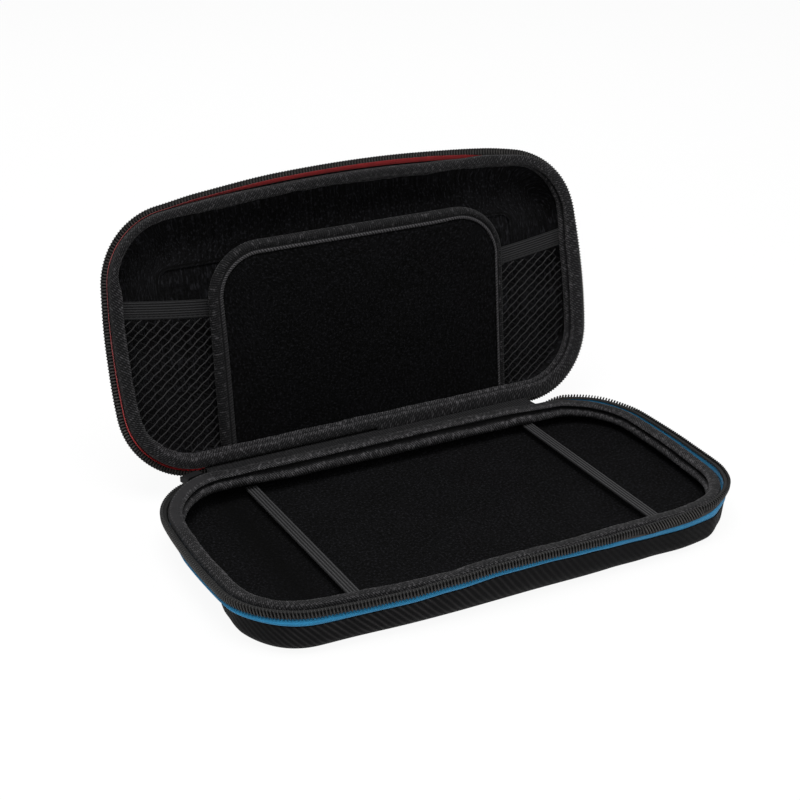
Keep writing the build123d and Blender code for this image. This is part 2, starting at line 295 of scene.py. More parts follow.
# points along a line at even steps, smoothed by a spline through the given ones
def softLine(points, count, closed=False):
    points = [Vector(p) for p in points]
    last = len(points) if closed else len(points) - 1
    dense = []
    for i in range(last):
        p1, p2 = points[i], points[(i + 1) % len(points)]
        p0 = points[i - 1] if closed or i else p1 * 2 - p2
        p3 = points[(i + 2) % len(points)] if closed or i + 2 < len(points) else p2 * 2 - p1
        for k in range(8):
            t = k / 8
            dense.append(0.5 * (2 * p1 + (p2 - p0) * t + (2 * p0 - 5 * p1 + 4 * p2 - p3) * t * t
                                + (3 * p1 - p0 - 3 * p2 + p3) * t ** 3))
    dense.append(points[0].copy() if closed else points[-1].copy())
    reach = lineReach(dense)
    even, j = [], 0
    for i in range(count + 1):
        goal = reach[-1] * i / count
        while j < len(reach) - 2 and reach[j + 1] < goal:
            j += 1
        t = (goal - reach[j]) / max(reach[j + 1] - reach[j], 1e-9)
        even.append(dense[j].lerp(dense[j + 1], held(t)))
    return even, reach[-1]


def lineReach(points):
    reach = [0.0]
    for a, b in zip(points, points[1:]):
        reach.append(reach[-1] + (Vector(b) - Vector(a)).length)
    return reach


def caseOutline(share, inset):
    point, normal = planAt(share * planLength)
    return point - normal * inset, normal


# rings of an outline stacked by a profile of insets and heights, with flat ends filled
def ringStack(name, count, outline, profile, place, ends=True, cloth=None, ripple=None):
    reach = lineReach(profile)
    rows = len(profile) - 1

    def spot(u, w):
        inset, height = profile[round(w * rows)]
        if ripple:
            inset, height = ripple(u, w, inset, height)
        point, normal = outline(u, inset)
        return Vector((point.x, point.y, height))

    def unrolled(u, w):
        point, normal = outline(u, profile[0][0])
        flat = point + normal * reach[round(w * rows)]
        return flat.x, flat.y

    return settled(layGrid(name, count, rows, spot, cloth or unrolled), place, ends)


def arcPoints(centre, radius, start, end, count):
    turns = [math.radians(start + (end - start) * i / count) for i in range(count + 1)]
    return [(centre[0] + radius * math.cos(t), centre[1] + radius * math.sin(t)) for t in turns]


# one copy of a small shape at each place, joined into one mesh
def strewn(name, shape, places):
    copies = []
    for i, matrix in enumerate(places):
        mesh = shape.data.copy()
        mesh.transform(matrix)
        copies.append(added(f"{name}_{i}", mesh))
    bpy.data.objects.remove(shape)
    freshSelection()
    for copy in copies:
        copy.select_set(True)
    bpy.context.view_layer.objects.active = copies[0]
    bpy.ops.object.join()
    piece = bpy.context.object
    piece.name = piece.data.name = name
    return piece


def axesAt(origin, x, y, z):
    matrix = Matrix((x, y, z)).transposed().to_4x4()
    matrix.translation = origin
    return matrix


# shader helpers
class Val:  # a shader number that writes its own Math nodes
    def __init__(self, tree, socket):
        self.tree, self.socket = tree, socket

    def math(self, operation, *values, clamp=False):
        node = self.tree.nodes.new("ShaderNodeMath")
        node.operation = operation
        node.use_clamp = clamp
        for entry, value in zip(node.inputs, values):
            if isinstance(value, Val):
                self.tree.links.new(value.socket, entry)
            else:
                entry.default_value = value
        return Val(self.tree, node.outputs[0])

    def wave(self):  # 0 to 1, once for each whole number
        return self.math("SINE", self * (2 * math.pi)) * 0.5 + 0.5

    def size(self):
        return self.math("ABSOLUTE", self)

    def between(self, low, high):  # 0 at low, 1 at high, held outside
        return self.math("DIVIDE", self - low, high - low, clamp=True)

    def most(self, other):
        return self.math("MAXIMUM", self, other)


operators = dict(add="ADD", sub="SUBTRACT", mul="MULTIPLY", truediv="DIVIDE", pow="POWER")
for sign, operation in operators.items():
    setattr(Val, f"__{sign}__", lambda self, other, kind=operation: self.math(kind, self, other))
    setattr(Val, f"__r{sign}__", lambda self, other, kind=operation: self.math(kind, other, self))


class Finish:  # a material and the few ways its nodes are made
    def __init__(self, name):
        self.material = bpy.data.materials.new(name)
        self.material.use_nodes = True
        self.tree = self.material.node_tree
        self.shader = self.tree.nodes["Principled BSDF"]

    def node(self, kind, settings=None, values=None):
        made = self.tree.nodes.new("ShaderNode" + kind)
        for key, value in (settings or {}).items():
            setattr(made, key, value)
        for key, value in (values or {}).items():
            entry = made.inputs[key]
            if isinstance(value, Val):
                self.tree.links.new(value.socket, entry)
            elif isinstance(value, bpy.types.NodeSocket):
                self.tree.links.new(value, entry)
            else:
                entry.default_value = value
        return made

    def coords(self, kind):  # in mm
        vector = self.node("TexCoord").outputs[kind]
        parts = self.node("SeparateXYZ", values={0: vector})
        return vector, [Val(self.tree, parts.outputs[i]) * 1000 for i in range(3)]

    def speckle(self, vector, size, detail=2.0, stretch=(1, 1, 1), rough=0.55):  # noise of about a size in mm
        scaled = self.node("VectorMath", {"operation": "MULTIPLY"}, {0: vector, 1: stretch}).outputs[0]
        made = self.node("TexNoise", None, {"Vector": scaled, "Scale": 1000 / size, "Detail": detail,
                                            "Roughness": rough})
        return Val(self.tree, made.outputs[0])

    def blendColour(self, share, first, second):
        made = self.node("Mix", {"data_type": "RGBA"}, {0: share})
        for index, colour in ((6, first), (7, second)):
            if isinstance(colour, bpy.types.NodeSocket):
                self.tree.links.new(colour, made.inputs[index])
            else:
                made.inputs[index].default_value = (*colour, 1)
        return made.outputs[2]

    def finish(self, colour, rough, relief, depth, **fixed):  # relief 0 to 1, depth in mm
        bump = self.node("Bump", None, {"Height": relief, "Distance": depth * mm, "Strength": 1.0})
        self.tree.links.new(bump.outputs[0], self.shader.inputs["Normal"])
        self.tree.links.new(colour, self.shader.inputs["Base Color"])
        if isinstance(rough, Val):
            self.tree.links.new(rough.socket, self.shader.inputs["Roughness"])
        else:
            self.shader.inputs["Roughness"].default_value = rough
        for key, value in fixed.items():
            self.shader.inputs[key.replace("_", " ")].default_value = value
        return self.material


def ribbedShell(name):  # ribbed twill pressed over the moulded foam
    f = Finish(name)
    vector, (u, w, _) = f.coords("UV")
    sway = f.speckle(vector, 14) - 0.5
    rib = ((u - w) * (0.7071 / 2.4) + sway * 0.35).wave()
    thread = ((u + w) * (0.7071 / 0.45)).wave()
    cross = ((u - w) * (0.7071 / 0.45)).wave()
    grain = f.speckle(vector, 0.9, 3)
    worn = f.speckle(vector, 16, 2)
    # the ribs' relief and their painted light fade towards the ends: the rib tone contrast stands for the light
    # skimming the ribs
    ribReliefAndLight = (1 - u.between(-50, 30) * 0.95) * (u.between(-130, -100) * 0.7 + 0.3)
    weave = rib * ribReliefAndLight * 0.75 + thread * cross * 0.2 + grain * 0.12
    tone = ((rib ** 3) * ribReliefAndLight * (worn * 1.6 - 0.15) + grain * 0.25 - 0.06).between(0, 1)
    colour = f.blendColour(tone, (0.0012, 0.0012, 0.0016), (0.021, 0.0195, 0.02))
    return f.finish(colour, 0.8 - rib * 0.12, weave, 0.25, Specular_IOR_Level=0.085, Sheen_Weight=0.0)


def softFleece(name, streak, lift=1.0, grain=1.0, panel=None, shade=None):  # brushed lining with a short nap
    f = Finish(name)
    vector, (u, w, _) = f.coords("UV")
    nap = f.speckle(vector, 1.2, 3)
    tuft = f.speckle(vector, 1.1, 1, (1, grain, 1))
    patch = f.speckle(vector, 22, 2)
    drawn = f.speckle(vector, 1.6, 2, streak)
    bright = tuft.between(0.54, 0.7)
    tone = (nap * 0.8 + drawn * 1.1 + patch * 0.4 - 1.0 + bright * 1.0).between(0, 1.3)
    if panel is not None:  # painted shade along the pressed panel's edge, a rounded box
        halfX, halfY, corner = panel
        out = (u.size() - (halfX - corner)).most(0) ** 2 + (w.size() - (halfY - corner)).most(0) ** 2
        tone = tone * ((out ** 0.5 - corner - 0.3).size().between(0.5, 1.8) * 0.9 + 0.1)
    if shade is not None:  # painted shadow beside a strap
        tone = tone * ((u - shade[0]).size().between(0, shade[1]) * 0.8 + 0.2)
    colour = f.blendColour(tone, (0.001 * lift,) * 3, (0.0056 * lift, 0.0056 * lift, 0.0064 * lift))
    return f.finish(colour, 1.0, nap * 0.8 + drawn * 0.6, 0.35, Specular_IOR_Level=0.03, Sheen_Weight=0.0)


# woven tape with cords across it; a sunk seam and a row of stitches lie at given places across
def grosgrain(name, pitch, slant, seam=None, dots=None, strip=None, ridges=(), smooth=None,
              deep=0.8, knit=0.2, pale=(0.06, 0.058, 0.061)):
    f = Finish(name)
    vector, (u, w, _) = f.coords("UV")
    sway = f.speckle(vector, 7, 2) - 0.5
    rib = (u / pitch + w * (slant / pitch) + sway * 0.5).wave()
    thread = (w / (pitch * 0.9) + (u / pitch) * 0.5).wave()
    worn = f.speckle(vector, 5, 4, rough=0.7)
    fuzz = f.speckle(vector, 0.55, 2)
    weave = rib * 0.7 + thread * rib * 0.3
    fleck = f.speckle(vector, 1.5, 2, (1, 0.6, 1)).between(0.52, 0.66)
    tone = (rib * 0.25 + rib * thread * knit + worn * 0.9 + fuzz * 0.4 + fleck * 0.6 - deep).between(0, 1)
    for centre, half, gain in ridges:  # folds that catch the light
        fold = 1 - (w - centre).size().between(half * 0.4, half)
        tone = tone + fold * (rib * 0.5 + fleck * 0.7) * (worn * 2.2 - 0.4).most(0) * gain
    if smooth is not None:  # a plain length between two stitched ones
        plain = ((u - smooth[0]).between(0, 6) * (1 - (u - smooth[1]).between(0, 12))
                 * (1 - (w - smooth[2]).between(0, 0.8)))
        tone = tone * (1 - plain) + plain * (worn * 0.15 + 0.12)
        weave = weave * (1 - plain * 0.9)
    if seam is not None:
        clear = (w - seam[0]).size().between(seam[1], seam[2])
        tone = tone * (clear * 0.95 + 0.05)
        weave = weave * clear
    if strip is not None:  # a flat edge sewn down by slanting stitches
        inside = (w - strip[0]).between(0, 0.25) * (1 - (w - strip[1]).between(-0.25, 0))
        stitch = (u / 1.7 + w * 0.4).wave().between(0.3, 0.75)
        lit = (u - 90).between(-30, 20) * 0.75 + 0.25
        tone = tone * (1 - inside) + inside * lit * (stitch * 0.9 + fuzz * 0.45)
        weave = weave + inside * stitch * 0.6
    if dots is not None:
        row = 1 - (w - dots).size().between(0.2, 0.5)
        tone = tone.most(row * (u / 2.3).wave().between(0.72, 0.9) * (worn * 1.8 - 0.2))
    colour = f.blendColour(tone, (0.003, 0.003, 0.0034), pale)
    return f.finish(colour, 0.88 - rib * 0.12, weave + fuzz * 0.3, 0.22, Specular_IOR_Level=0.12, Sheen_Weight=0.03)


def wovenTape(name, dark, pale, lit=None):  # flat coloured zip tape, with fine lengthwise cords
    f = Finish(name)
    vector, (u, w, _) = f.coords("UV")
    cords = (w / 0.55).wave()
    picks = (u / 0.5 + (w / 1.1)).wave()
    worn = f.speckle(vector, 6, 3)
    tone = (cords * 0.3 + picks * 0.25 + worn * 0.7 - 0.15).between(0, 1)
    colour = f.blendColour(tone, dark, pale)
    if lit is not None:  # painted light: brighter along the tape's first stretch, where the lid keeps the light off
        colour = f.blendColour((1 - u.between(40, 110)) * 0.9, colour, lit)
    return f.finish(colour, 0.78, cords * 0.6 + picks * 0.4, 0.09, Specular_IOR_Level=0.3, Sheen_Weight=0.1)


def ribbedElastic(name, ribs, width, pale, sewn=None):  # cords run the length of the band
    f = Finish(name)
    vector, (u, w, _) = f.coords("UV")
    cords = (w * (ribs / width) - 0.25).wave().between(0.3, 0.95)
    picks = (u / 0.7).wave()
    fuzz = f.speckle(vector, 0.6, 2)
    tone = (cords * 0.75 + cords * picks * 0.2 + fuzz * 0.3 - 0.12).between(0, 1)
    if sewn is not None:  # a plain edge with a row of stitches
        plain = (w - sewn).between(-0.1, 0.2)
        dashes = (u / 2.4).wave().between(0.3, 0.5) * (1 - (w - sewn - 0.8).size().between(0.15, 0.35))
        tone = tone * (1 - plain) + plain * (0.3 + fuzz * 0.25 - dashes * 0.4).most(0)
    colour = f.blendColour(tone, (0.002, 0.002, 0.0023), (pale, pale, pale * 1.04))
    return f.finish(colour, 0.8, picks * 0.6 + fuzz * 0.4, 0.12, Specular_IOR_Level=0.15, Sheen_Weight=0.03)


def mouldedNylon(name, dark, pale, rough=0.42, tipAndFlankShade=None, foot=None):  # zip teeth, drawn from monofilament
    f = Finish(name)
    vector = f.node("TexCoord").outputs["Object"]
    _, (u, w, _) = f.coords("UV")
    cloud = f.speckle(vector, 3, 3)
    fine = f.speckle(vector, 0.35, 2)
    tone = (cloud * 0.8 + fine * 0.4 - 0.15).between(0, 1)
    if tipAndFlankShade is not None:  # a tooth's length runs from 0 at its root to 1 and it darkens towards its tip; painted shade darkens its flanks inwards
        tone = tone * (1 - w.between(*tipAndFlankShade) * 0.85) * (1 - u.between(0, 0.6) * 0.95)
    if foot is not None:  # where the teeth's roots lie side by side
        tone = tone * 0.05 + (1 - w.between(foot, foot + 0.3)) * (fine * 0.6 + 0.5)
    colour = f.blendColour(tone, dark, pale)
    return f.finish(colour, cloud * 0.2 + (rough - 0.1), fine, 0.04, Specular_IOR_Level=0.25)


def twistedYarn(name, dark, pale):
    f = Finish(name)
    vector, (x, y, z) = f.coords("Object")
    twist = ((x + y + z) / 0.45).wave()
    fuzz = f.speckle(vector, 0.6, 3)
    colour = f.blendColour((twist * 0.45 + fuzz * 0.7 - 0.15).between(0, 1), dark, pale)
    return f.finish(colour, 0.8, twist * 0.7 + fuzz * 0.3, 0.08, Specular_IOR_Level=0.08, Sheen_Weight=0.0)


def paintedZinc(name):  # cast slider under worn black paint
    f = Finish(name)
    vector = f.node("TexCoord").outputs["Object"]
    cloud = f.speckle(vector, 2.5, 4)
    pits = f.speckle(vector, 0.3, 3)
    bare = cloud.between(0.66, 0.74) * 0.6
    colour = f.blendColour(bare, (0.004, 0.004, 0.0045), (0.05, 0.05, 0.05))
    f.tree.links.new(bare.socket, f.shader.inputs["Metallic"])
    return f.finish(colour, 0.5 + pits * 0.3, pits * 0.6 + cloud * 0.4, 0.05, Specular_IOR_Level=0.15)


shellCloth = ribbedShell("shell_cloth")
baseFleece = softFleece("base_fleece", (1, 1, 1), 1.7, shade=(-90, 16))
lidFleece = softFleece("lid_fleece", (1.0, 0.06, 1), 3.6, 0.25, panel=(100.5, 33, 9))
flapFleece = softFleece("flap_fleece", (1, 0.5, 1), 1.5)
# the lid's binding is the base's cloth painted darker, with weaker fold highlights: painted shade on its rolls
rimGrosgrain = grosgrain("rim_grosgrain", 1.35, 0.7, deep=1.06, knit=0.6, seam=(13.7, 1.0, 2.3),
                         ridges=[(10.0, 1.2, 0.9), (17.2, 2.0, 0.8)])
baseGrosgrain = grosgrain("base_grosgrain", 1.2, 0.7, deep=0.96, knit=0.5, seam=(13.7, 1.0, 2.3), dots=5.4,
                          ridges=[(10.0, 1.4, 1.1), (17.2, 2.0, 1.0)], smooth=(96, 150, 8.4))
flapGrosgrain = grosgrain("flap_grosgrain", 1.25, 0.2, deep=0.95, seam=(2.5, 0.15, 0.8), strip=(0.2, 2.2))
hingeGrosgrain = grosgrain("hinge_grosgrain", 1.4, 0.0, pale=(0.013, 0.0125, 0.0135))
blueTape = wovenTape("blue_tape", (0.004, 0.11, 0.24), (0.016, 0.21, 0.4))
redTape = wovenTape("red_tape", (0.12, 0.002, 0.003), (0.34, 0.01, 0.012), (0.85, 0.03, 0.035))
strapElastic = ribbedElastic("strap_elastic", 4, 6.0, 0.04)
mouthElastic = ribbedElastic("mouth_elastic", 7, 8.6, 0.024, sewn=6.5)
coilNylon = mouldedNylon("coil_nylon", (0.0015, 0.0015, 0.0015), (0.062, 0.058, 0.055), 0.5, (0.55, 1.0))
coilGround = mouldedNylon("coil_ground", (0.0008, 0.0008, 0.0008), (0.0025, 0.0025, 0.0025), 0.8)
coilRoots = mouldedNylon("coil_roots", (0.0008, 0.0008, 0.0008), (0.03, 0.028, 0.027), 0.8, foot=1.3)
# one yarn in two copies: the first strand family painted as lit, the second painted as in shade
netLitYarn = twistedYarn("net_lit_yarn", (0.012, 0.012, 0.0125), (0.05, 0.049, 0.05))
netShade = twistedYarn("net_shade", (0.003, 0.003, 0.0032), (0.013, 0.013, 0.0135))
sliderPaint = paintedZinc("slider_paint")
print("finishes made")


def dress(piece, material, body, slot, *nodes):
    piece.data.materials.clear()
    piece.data.materials.append(material)
    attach(piece, body)
    if nodes:
        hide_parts(*nodes)
    return piece


# moulded shells
shellForm = dict(rimHeight=14.5, rimInset=2.2, draft=4, wall=2.4, floorRound=12, stations=420)


def wallInset(height):
    return shellForm["rimInset"] + (shellForm["rimHeight"] - height) * math.tan(math.radians(shellForm["draft"]))


# floor edge, round and wall of the shell's form shrunk by a depth, up to a height
def wallLine(depth, top, steps):
    radius = shellForm["floorRound"] - depth
    foot = wallInset(depth) + depth
    flatEnd = foot + radius / math.tan(math.radians((90 + shellForm["draft"]) / 2))
    line = arcPoints((flatEnd, depth + radius), radius, 270, 180 + shellForm["draft"], steps)
    return line + [(wallInset(top) + depth, top)]


lidPanel = dict(length=201, width=66, rise=1.0, corner=9)


def panelOutline(share, inset):
    length, width = lidPanel["length"] - 2 * inset, lidPanel["width"] - 2 * inset
    return roundedBox(length, width, lidPanel["corner"] - inset, share)


# a rounded rectangle from the middle of its back, round the left
def roundedBox(length, width, corner, share):
    halfX, halfY = length / 2 - corner, width / 2 - corner
    arc = math.pi * corner / 2
    runs = [halfX, arc, 2 * halfY, arc, 2 * halfX, arc, 2 * halfY, arc, halfX]
    index, s = stretchAt(runs, (share % 1.0) * sum(runs))
    starts = {0: ((0, halfY + corner), (0, 1)), 2: ((-halfX - corner, halfY), (-1, 0)),
              4: ((-halfX, -halfY - corner), (0, -1)), 6: ((halfX + corner, -halfY), (1, 0)),
              8: ((halfX, halfY + corner), (0, 1))}
    if index in starts:
        return straightAt(*starts[index], s)
    centre = {1: (-halfX, halfY), 3: (-halfX, -halfY), 5: (halfX, -halfY), 7: (halfX, halfY)}[index]
    return cornerAt(centre, corner, math.pi / 2 * ((index + 1) / 2) + s / corner)


# a moulded half: its outside, rim and inside, with the pressed panel on the lid
def mouldedHalf(name, outer, inner, top, place, panel, floorPad=0, loose=False):
    rows = [("case",) + p for p in wallLine(outer, top, 10)]
    inside = wallLine(inner, top, 8)
    if floorPad:
        inside = [p for p in inside if p[1] > inner + floorPad]
        inside = [(inside[0][0] + 1.2, inner + floorPad), (inside[0][0] + 0.4, inner + floorPad + 0.15)] + inside
    rows += [("case",) + p for p in reversed(inside)]
    if panel:
        rise = lidPanel["rise"]
        rows = [("panel", outer + 0.6, outer - rise), ("panel", outer + 0.15, outer - rise + 0.12),
                ("panel", outer, outer - 0.4), ("panel", outer - 0.3, outer)] + rows
        rows += [("panel", inner - 0.3, inner), ("panel", inner, inner - 0.4),
                 ("panel", inner + 0.15, inner - rise + 0.12), ("panel", inner + 0.6, inner - rise)]
    last = len(rows) - 1
    reach = lineReach([row[1:] for row in rows])
    edge = 4 if panel else 0  # the row where the floor meets the wall's round
    outlines = {"case": caseOutline, "panel": panelOutline}
    reaches = {}

    def sagged(u, row):  # a row of the section, rounder or straighter with its way along the rim
        kind, inset, height = rows[row]
        if loose and not outer and row <= 10:
            share = flex("floorRound", u * planLength)
            inset = wallInset(height * share) + (inset - wallInset(height)) * share
            height *= share
        return kind, inset, height

    def spot(u, w):
        kind, inset, height = sagged(u, round(w * last))
        if loose:
            s = u * planLength
            inset -= flex("bulge", s) if not outer else min(0, flex("bulge", s))
            height += flex("rim", s) * max(0, height / rimTop) ** 2
        point, normal = outlines[kind](u, inset)
        return Vector((point.x, point.y, height))

    def unrolled(u):  # how far each row lies from the floor's edge along the cloth
        if not loose or outer:
            return reach[edge], reach
        if u not in reaches:
            reaches[u] = lineReach([sagged(u, row)[1:] for row in range(last + 1)])
        return sagged(u, 0)[1] - rows[0][1], reaches[u]

    def cloth(u, w):
        row = round(w * last)
        kind, inset, height = rows[row]
        if kind == "panel":
            point, normal = panelOutline(u, inset)
            return point.x, point.y
        point, normal = caseOutline(u, rows[edge][1])
        start, lengths = unrolled(u)
        flat = point + normal * (lengths[row] - start)
        return (flat.x, flat.y) if not loose or outer else ((u - 0.5) * planLength, -lengths[row])

    return settled(layGrid(name, shellForm["stations"], last, spot, cloth), place)


rimTop = shellForm["rimHeight"]
baseShell = mouldedHalf("shell_base", 0, shellForm["wall"], rimTop, onBase, False, loose=True)
dress(baseShell, shellCloth, "base", "shell_cloth", "base_shell")
lidShell = mouldedHalf("shell_lid", 0, shellForm["wall"], rimTop, onLid, True)
dress(lidShell, shellCloth, "lid", "shell_cloth", "lid_shell")
print("shells moulded")

# fleece linings
liningForm = dict(glue=0.1, baseWall=2.0, floorPad=3.0, lidWall=1.2, drop=0.3)
liningFoot = shellForm["wall"] + liningForm["glue"]
liningTop = rimTop - liningForm["drop"]
baseLining = mouldedHalf("lining_base", liningFoot, liningFoot + liningForm["baseWall"], liningTop, onBase, False,
                         liningForm["floorPad"], True)
dress(baseLining, baseFleece, "base", "lining_fleece", "base_lining")
lidLining = mouldedHalf("lining_lid", liningFoot, liningFoot + liningForm["lidWall"], liningTop, onLid, True)
dress(lidLining, lidFleece, "lid", "lining_fleece", "lid_lining")
print("linings laid")

# padded bindings over both rims
bindingForm = dict(
    section=[(3.95, 14.65), (3.85, 16.2), (3.95, 18.2), (4.6, 19.55), (6.2, 20.0), (8.2, 19.8),
             (9.5, 19.1), (9.7, 18.3), (8.7, 17.5), (7.6, 16.8), (8.6, 15.95), (10.1, 15.4), (10.85, 14.45),
             (10.5, 13.2), (9.2, 12.5), (7.5, 12.45), (7.2, 13.2), (7.2, 14.45), (6.4, 14.65), (5.0, 14.65)],
    rows=46, stations=640, pucker=0.26, rollPucker=0.6)


def rimBinding(name, seed, place, loose):
    line, around = softLine(bindingForm["section"], bindingForm["rows"], closed=True)

    def ripple(u, w, inset, height):
        s = u * planLength
        point, normal = planAt(s)
        low = held((17.2 - height) / 1.5)  # the lower roll is slacker
        amount = bindingForm["pucker"] + low * bindingForm["rollPucker"]
        broad = noise.noise(Vector((point.x, point.y, height * 2.2 + seed)) * 0.09)
        short = noise.noise(Vector((point.x, point.y, height * 1.4 + seed)) * 0.32)
        push = amount * (broad * 0.9 + short * 0.55)
        seat = 0 if inset < 4.6 or height < 12.9 else 1
        edge = held((6.6 - inset) / 2) * held((height - 15.5) / 2)  # the roll's outer side
        drawn = held((18.7 - height) / 1.5) * held((height - 12.8) / 3)
        upper = held((height - 16.0) / 2.8)
        inset, height = inset + push * 0.75 * seat, min(height + push * seat, 20.3)
        if loose:
            height += (flex("roll", s) + flex("lowRoll", s) * drawn + 0.5 * flex("flange", s) * edge
                       + flex("topRoll", s) * upper)
            inset -= flex("flange", s) * edge
        else:
            narrowed = flex("lidNarrow", s) * max(0, inset - 3.9)
            inset -= flex("lidFlange", s) * held((6.6 - inset) / 2) + narrowed
        return inset, height

    def cloth(u, w):
        return u * planLength, w * around

    return ringStack(name, bindingForm["stations"], caseOutline, [tuple(p) for p in line], place, False, cloth, ripple)


baseBinding = rimBinding("binding_base", 3.0, onBase, True)
dress(baseBinding, baseGrosgrain, "base", "binding_cloth", "base_rim_binding")
lidBinding = rimBinding("binding_lid", 41.0, onLid, False)
dress(lidBinding, rimGrosgrain, "lid", "binding_cloth", "lid_rim_binding")
print("bindings sewn")

# zip halves: tape, coil ground and teeth
zipForm = dict(endX=88, tapeThickness=0.7, footInset=2.7, tapeHeight=6.2, lean=1.1, coilWidth=4.2, coilThickness=1.9,
               overhang=1.1, pitch=1.54, toothWidth=0.76, lidTapeWidth=2.4, lidTapeLift=1.1, lidReach=3.3, lidDepth=1.8,
               lidRoot=3.7)
zipStart = zipForm["endX"] - 4
zipEnd = planLength - zipForm["endX"]


def tapeInset(height):
    return zipForm["footInset"] - zipForm["lean"] * (height - rimTop) / zipForm["tapeHeight"]


# a place on the base's zip, which sags, swells and stands with its way along the rim
def onBaseZip(s, inset, height):
    share = held((height - rimTop - 0.1) / (3 + flex("zipRamp", s)))
    belly = flex("tapeBelly", s) * math.sin(math.pi * share)
    inset += flex("zipIn", s) * share - belly - max(-0.8, flex("bulge", s)) * (1 - share)
    height += flex("rim", s) * (1 - share) + flex("zip", s) * share
    point, normal = planAt(s)
    return Vector((point.x - normal.x * inset, point.y - normal.y * inset, height)) * mm


# a place on the lid's zip, drawn in where its tape is short
def onLidZip(s, inset, height):
    inset += flex("lidZip", s) * held((zipForm["lidRoot"] - inset) / zipForm["lidTapeWidth"])
    point, normal = planAt(s)
    return onLid(Vector((point.x - normal.x * inset, point.y - normal.y * inset, height)))


def onLidTape(s, inset, height):  # the tape shows less where the coil's ground covers it
    root = zipForm["lidRoot"]
    inset = root - (root - inset) * (1 - 0.85 * flex("lidCover", s))
    return onLidZip(s, inset, height)


def onBaseGround(s, inset, height, drop):  # the coil's ground laps over the tape's inner face
    cover = drop * flex("coilCover", s)
    return onBaseZip(s, inset + cover * zipForm["lean"] / zipForm["tapeHeight"] + min(0.3, cover), height - cover)


# a band along the zip's way with a closed section of insets and heights
def zipBand(name, section, place, stations=520):
    return carried(name, stations, [Vector(p) for p in section],
                   lambda u, w, p: place(zipStart + (zipEnd - zipStart) * u, *p),
                   lambda u: (zipEnd - zipStart) * u, angle=35)


tapeFoot = rimTop + 0.1
tapeTop = rimTop + zipForm["tapeHeight"]
tapeRows = [tapeFoot + (tapeTop - tapeFoot) * i / 12 for i in range(13)]
baseTape = zipBand("tape_base", [(tapeInset(h), h) for h in tapeRows]
                   + [(tapeInset(h) + zipForm["tapeThickness"], h) for h in reversed(tapeRows)], onBaseZip)
dress(baseTape, blueTape, "base", "tape_blue", "base_zip_tape")
lidFoot = rimTop + 0.1
lidLift = zipForm["lidTapeLift"]
lidBack = lidFoot + lidLift / 2 - zipForm["lidDepth"]
lidNear = shellForm["rimInset"] - 0.08
lidTapeRows = [(zipForm["lidRoot"] - zipForm["lidTapeWidth"] * i / 4,
                lidFoot + lidLift * (i / 4) ** 0.8) for i in range(5)]
lidTape = zipBand("tape_lid", lidTapeRows + [(i, h + zipForm["tapeThickness"]) for i, h in reversed(lidTapeRows)],
                  onLidTape)
dress(lidTape, redTape, "lid", "tape_red", "lid_zip_tape")


# a tooth: a bent bar with rounded ends, wide across x, thick along y, tall along z
def zipTooth(name, width, thickness, height, bend):
    freshSelection()
    bpy.ops.mesh.primitive_cube_add(size=1)
    tooth = bpy.context.object
    tooth.name = name
    bpy.ops.object.mode_set(mode="EDIT")
    bpy.ops.transform.resize(value=(width * mm, thickness * mm, height * mm))
    bpy.ops.mesh.bevel(offset=0.28 * min(width, thickness) * mm, segments=1)
    bpy.ops.mesh.select_all(action="SELECT")
    bpy.ops.mesh.bisect(plane_co=(0, 0, 0), plane_no=(0, 0, 1))
    bpy.ops.object.mode_set(mode="OBJECT")
    layer = tooth.data.uv_layers.active.data
    for face in tooth.data.polygons:
        # flank faces carry u across their thickness, for the painted shade on the teeth's flanks
        flank = 1 if abs(face.normal.x) > 0.6 else 0
        for loop in face.loop_indices:
            co = tooth.data.vertices[tooth.data.loops[loop].vertex_index].co / mm
            layer[loop].uv = (flank * (co.y / thickness + 0.55) * mm, (co.z / height + 0.5) * mm)
    for v in tooth.data.vertices:
        t = v.co.z / (height * mm / 2)
        v.co.y += bend * mm * (1 - t * t)
        v.co.x *= 1 - 0.18 * abs(t)
    bpy.ops.object.shade_smooth_by_angle(angle=math.radians(40))
    return tooth


coilTop = tapeTop + zipForm["overhang"]
coilFoot = coilTop - zipForm["coilWidth"]
sliderShare = dict(angle=106, length=9)
sliderStop = backReach + math.radians(sliderShare["angle"] - 90) * casePlan["cornerRadius"] + sliderShare["length"] / 2


# teeth stood along the zip: each takes its axes from three places on its band
def standTeeth(name, tooth, start, place, inset, height, along, lean=0):
    count = int((zipEnd - start) / zipForm["pitch"])
    places = []
    for i in range(count):
        s = start + (zipEnd - start) * (i + 0.5) / count
        spot = place(s, inset, height)
        tall = (place(s - lean * 0.2, inset - along[0] * 0.2, height + along[1] * 0.2) - spot).normalized()
        across = place(s + 0.2, inset, height) - spot
        across = (across - tall * across.dot(tall)).normalized()
        places.append(axesAt(spot, across, tall.cross(across), tall))
    piece = strewn(name, tooth, places)
    closeMesh(piece, angle=40)
    return piece


